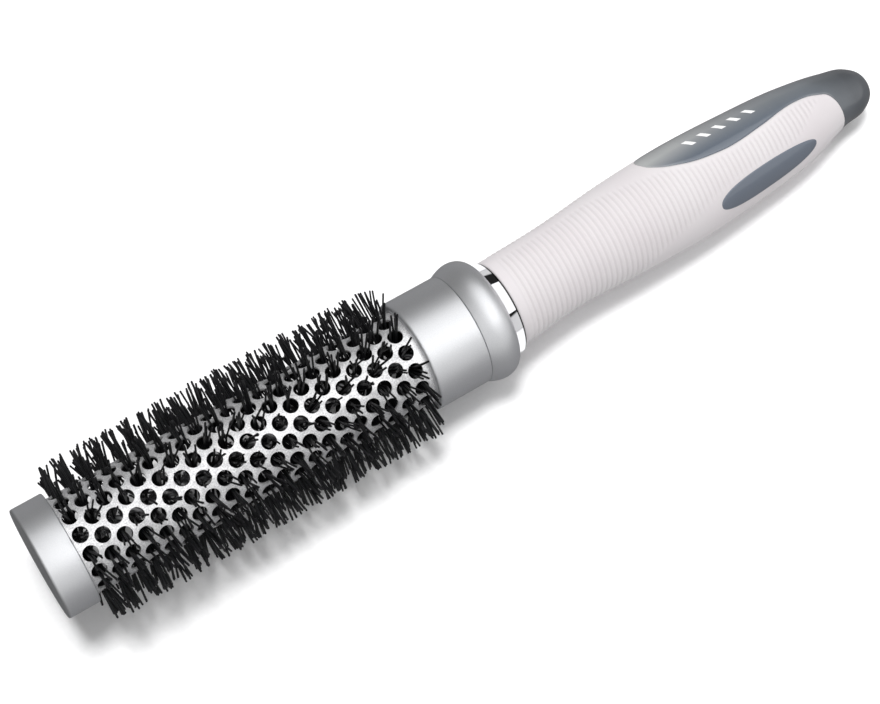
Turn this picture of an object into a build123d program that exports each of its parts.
from build123d import *
from build123d.topology import SkipClean
import os
from math import cos, radians, sin

# Round barrel brush: a vented metal barrel with bristles on a twisted wire spindle,
# a collar, and a handle with a smoky core inside a soft white grip.
# Everything is placed along the brush axis, measured from the flat face of the front cap.

os.makedirs("parts", exist_ok=True)

# How the brush lies: on its last bristles and on the belly of the handle
lean = 5.65               # degrees that the axis falls towards the handle
cap_face_x = -121.15      # where the middle of the cap's face is, from the origin
cap_face_height = 29.73

# Barrel and its holes
barrel_radius = 12.5
barrel_wall = 0.8
barrel_front = 1.6
barrel_rear = 113.0
hole_radius = 1.92
hole_cut_margin = 0.5     # how far a hole's cut starts and ends beyond the wall
holes_per_ring = 16
ring_count = 21
first_ring = 10.6
ring_pitch = 4.325

# Bristles: one ring of tufts for each ring of holes
tip_radius = 20.2
tuft_root_radius = 0.35
tuft_tip_radius = 1.6
hub_radius = 2.6
hub_bore = 1.8
hub_width = 1.6

# Twisted wire spindle
wire_radius = 0.8
wire_gap = 0.05
wire_twist = 8.0          # length of one full turn
spindle_front = 3.0
spindle_rear = 116.0

# Front cap and the bush inside it
cap_radius = 14.2
cap_length = 8.2
cap_edge = 0.5
press_gap = 0.05          # between pieces that are pressed or glued together
bush_front = 2.2
bush_length = 4.0

# Collar: a plain sleeve, a rounded bead behind it and a bright trim ring
sleeve_radius = 14.5
sleeve_front = 100.4
sleeve_rear = 115.2
sleeve_edge = 0.6
bead_radius = 15.85
bead_front = 115.35
bead_widest = 119.6
bead_rear = 124.0
bead_rear_radius = 13.0
ring_radius = 12.35
ring_front = 124.1
ring_rear = 126.9
tang_radius = 10.6
tang_front = 106.0
rear_bush_length = 6.0

# Handle: round sections along a centre line that rises towards the smoky back
grip_front = 127.0
grip_end = 230.6
grip_wall = 2.0
back_angle = 42.8         # direction of the smoky back, in the section planes
handle_sections = [       # distance along the axis, radius, rise of the centre
    (127.0, 11.7, 0.5),
    (145.0, 11.25, 1.9),
    (165.0, 12.5, 2.65),
    (182.0, 13.1, 3.2),
    (202.0, 12.3, 3.85),
    (221.0, 10.5, 4.6),
    (233.0, 7.7, 5.1),
    (240.0, 6.3, 5.1),
    (243.3, 3.9, 4.9),
    (244.3, 1.4, 4.8),
]

# Smoky back, as its outline looks from straight above it: distance along, half width
back_outline = [
    (174.6, 0.0),
    (177.6, 5.2),
    (183.0, 7.8),
    (193.5, 9.3),
    (207.0, 8.3),
    (219.0, 6.5),
    (225.0, 6.9),
    (228.5, 8.0),
    (230.6, 10.5),
]
back_reach = 20.0

# Oval window on each side of the grip
window_middle = 203.6
window_length = 32.4
window_width = 7.4
window_angle = 103.8      # from the smoky back, round the handle
window_reach = 14.0       # how far out the window's cut goes
window_depth = 8.0        # where it starts, inside the core

axis_direction = Vector(cos(radians(lean)), 0, -sin(radians(lean)))
side = Plane(
    origin=(cap_face_x, 0, cap_face_height), x_dir=axis_direction, z_dir=(0, -1, 0)
)
brush_axis = Axis(side.origin, axis_direction)


def station(distance):
    """The plane across the axis at a distance, with X to the back and Y up."""
    return Plane(
        origin=side.from_local_coords((distance, 0, 0)),
        x_dir=(0, 1, 0),
        z_dir=axis_direction,
    )


def outward(distance, angle, start=0.0):
    """The plane that faces away from the axis at an angle, start away from it."""
    section = station(distance)
    direction = section.x_dir * cos(radians(angle)) + section.y_dir * sin(radians(angle))
    return Plane(
        origin=section.origin + direction * start, x_dir=axis_direction, z_dir=direction
    )


def handle_centre(rise):
    """Where the handle's centre is in a section plane."""
    return (rise * cos(radians(back_angle)), rise * sin(radians(back_angle)))


def hole_angles(ring):
    """The directions of one ring's holes; each second ring is half a step round."""
    step = 360 / holes_per_ring
    start = -90 if ring % 2 else -90 + step / 2
    return [start + step * number for number in range(holes_per_ring)]


def save(part, name):
    part.label = name
    export_step(part, f"parts/{name}.step")


# Front cap: a cup over the barrel's end, with a flat face
with BuildPart() as front_cap:
    with BuildSketch(station(0)):
        Circle(cap_radius)
    extrude(amount=cap_length)
    with BuildSketch(station(barrel_front - press_gap)):
        Circle(barrel_radius + press_gap)
    extrude(amount=cap_length, mode=Mode.SUBTRACT)
    fillet(front_cap.edges().group_by(brush_axis)[0], cap_edge)
    rear_edges = front_cap.edges().group_by(brush_axis)[-1]
    fillet(rear_edges.sort_by(SortBy.RADIUS)[-1], cap_edge)
save(front_cap.part, "front_cap")

# Front bush: holds the spindle in the middle of the barrel
with BuildPart() as front_bush:
    with BuildSketch(station(bush_front)):
        Circle(barrel_radius - barrel_wall - press_gap)
        Circle(hub_bore, mode=Mode.SUBTRACT)
    extrude(amount=bush_length)
save(front_bush.part, "front_bush")

# Barrel: a thin tube with staggered rings of vent holes. It is built in short lengths, one for
# each ring, and their seams are kept: a face with few holes is far quicker to mesh.
barrel_inside = barrel_radius - barrel_wall
ring_seams = [first_ring + (ring - 0.5) * ring_pitch for ring in range(ring_count + 1)]
barrel_seams = [barrel_front, *ring_seams, barrel_rear]
hole_planes = [
    outward(first_ring + ring * ring_pitch, angle, barrel_inside - hole_cut_margin)
    for ring in range(ring_count)
    for angle in hole_angles(ring)
]
with SkipClean(), BuildPart() as barrel:
    for start, end in zip(barrel_seams, barrel_seams[1:]):
        with BuildSketch(station(start)):
            Circle(barrel_radius)
            Circle(barrel_inside, mode=Mode.SUBTRACT)
        extrude(amount=end - start, clean=False)
    with BuildSketch(*hole_planes):
        Circle(hole_radius)
    extrude(
        amount=barrel_wall + 2 * hole_cut_margin, mode=Mode.SUBTRACT, clean=False
    )
save(barrel.part, "barrel")

# Spindle: two wires twisted round each other, which hold the bristles by their roots
with BuildPart() as upright_wire:
    with BuildLine():
        twist = Helix(wire_twist, spindle_rear - spindle_front, wire_radius + wire_gap)
    with BuildSketch(Plane(origin=twist @ 0, z_dir=twist % 0)):
        Circle(wire_radius)
    sweep(path=twist, is_frenet=True)

for wire_name, x_sign in (("spindle_wire_a", 1), ("spindle_wire_b", -1)):
    spindle_start = Plane(
        origin=station(spindle_front).origin, x_dir=(0, x_sign, 0), z_dir=axis_direction
    )
    with BuildPart() as spindle_wire:
        with Locations(spindle_start):
            add(upright_wire.part)
    save(spindle_wire.part, wire_name)

# Bristles: for each ring of holes a bound root on the spindle and a tuft for each hole
for ring in range(ring_count):
    ring_middle = first_ring + ring * ring_pitch
    root_start = (hub_bore + hub_radius) / 2
    with BuildPart() as bristle_ring:
        with BuildSketch(station(ring_middle - hub_width / 2)):
            Circle(hub_radius)
            Circle(hub_bore, mode=Mode.SUBTRACT)
        extrude(amount=hub_width)
        with Locations(*[outward(ring_middle, a, root_start) for a in hole_angles(ring)]):
            Cone(
                tuft_root_radius,
                tuft_tip_radius,
                tip_radius - root_start,
                align=(Align.CENTER, Align.CENTER, Align.MIN),
            )
    save(bristle_ring.part, f"bristle_ring_{ring + 1:02d}")

# Rear bush: fits between the handle's tang and the barrel
with BuildPart() as rear_bush:
    with BuildSketch(station(tang_front)):
        Circle(barrel_inside - press_gap)
        Circle(tang_radius + press_gap, mode=Mode.SUBTRACT)
    extrude(amount=rear_bush_length)
save(rear_bush.part, "rear_bush")

# Collar sleeve: a plain tube with a rounded front lip
with BuildPart() as collar_sleeve:
    with BuildSketch(station(sleeve_front)):
        Circle(sleeve_radius)
        Circle(barrel_radius + press_gap, mode=Mode.SUBTRACT)
    extrude(amount=sleeve_rear - sleeve_front)
    lip_edges = collar_sleeve.edges().group_by(brush_axis)[0]
    fillet(lip_edges.sort_by(SortBy.RADIUS)[-1], sleeve_edge)
save(collar_sleeve.part, "collar_sleeve")

# Collar bead: swells out behind the sleeve and rounds down to the trim ring
with BuildPart() as collar_bead:
    with BuildSketch(side):
        with BuildLine():
            swell = Spline(
                (bead_front, sleeve_radius),
                (bead_widest, bead_radius),
                (bead_rear, bead_rear_radius),
                tangents=((1, 0.25), (0.1, -1)),
            )
            Polyline(
                swell @ 1,
                (bead_rear, tang_radius + press_gap),
                (bead_front, tang_radius + press_gap),
                swell @ 0,
            )
        make_face()
    revolve(axis=brush_axis)
save(collar_bead.part, "collar_bead")

# Trim ring: a bright band between the bead and the grip
with BuildPart() as trim_ring:
    with BuildSketch(station(ring_front)):
        Circle(ring_radius)
        Circle(tang_radius + press_gap, mode=Mode.SUBTRACT)
    extrude(amount=ring_rear - ring_front)
save(trim_ring.part, "trim_ring")

# The whole handle, then the same shape thinner, as the grip's inside
with BuildPart() as handle_outside:
    for distance, radius, rise in handle_sections:
        with BuildSketch(station(distance)):
            with Locations(handle_centre(rise)):
                Circle(radius)
    loft()

with BuildPart() as handle_inside:
    for distance, radius, rise in handle_sections:
        if distance < grip_end:
            with BuildSketch(station(distance)):
                with Locations(handle_centre(rise)):
                    Circle(radius - grip_wall)
    loft()

# Where the smoky core comes up to the surface: the back, the end and two oval windows
back_plane = outward(0, back_angle)
with BuildPart() as back_shape:
    with BuildSketch(back_plane):
        with BuildLine():
            edge = Spline(back_outline, tangents=((0, 1), (0, 1)))
            Polyline(edge @ 1, (grip_end, 0), edge @ 0)
        make_face()
        mirror(about=Plane.XZ)
    extrude(amount=back_reach)
    with BuildSketch(station(grip_end)):
        Circle(2 * back_reach)
    extrude(amount=back_reach)

with BuildPart() as window_shape:
    for side_sign in (1, -1):
        window_direction = back_angle + side_sign * window_angle
        with BuildSketch(outward(window_middle, window_direction, window_depth)):
            Ellipse(window_length / 2, window_width / 2)
        extrude(amount=window_reach)

# Grip: a soft skin round the core, open along the back and at the windows
with BuildPart() as handle_grip:
    add(handle_outside.part)
    add(handle_inside.part, mode=Mode.SUBTRACT)
    add(back_shape.part, mode=Mode.SUBTRACT)
    add(window_shape.part, mode=Mode.SUBTRACT)
save(handle_grip.part, "handle_grip")

# Core: the rest of the handle, with a tang inside the collar that takes the spindle's end
with BuildPart() as handle_core:
    add(handle_outside.part)
    add(handle_grip.part, mode=Mode.SUBTRACT)
    with BuildSketch(station(tang_front)):
        Circle(tang_radius)
    extrude(amount=grip_front - tang_front)
    with BuildSketch(station(tang_front)):
        Circle(hub_bore)
    extrude(amount=spindle_rear - tang_front, mode=Mode.SUBTRACT)
save(handle_core.part, "handle_core")
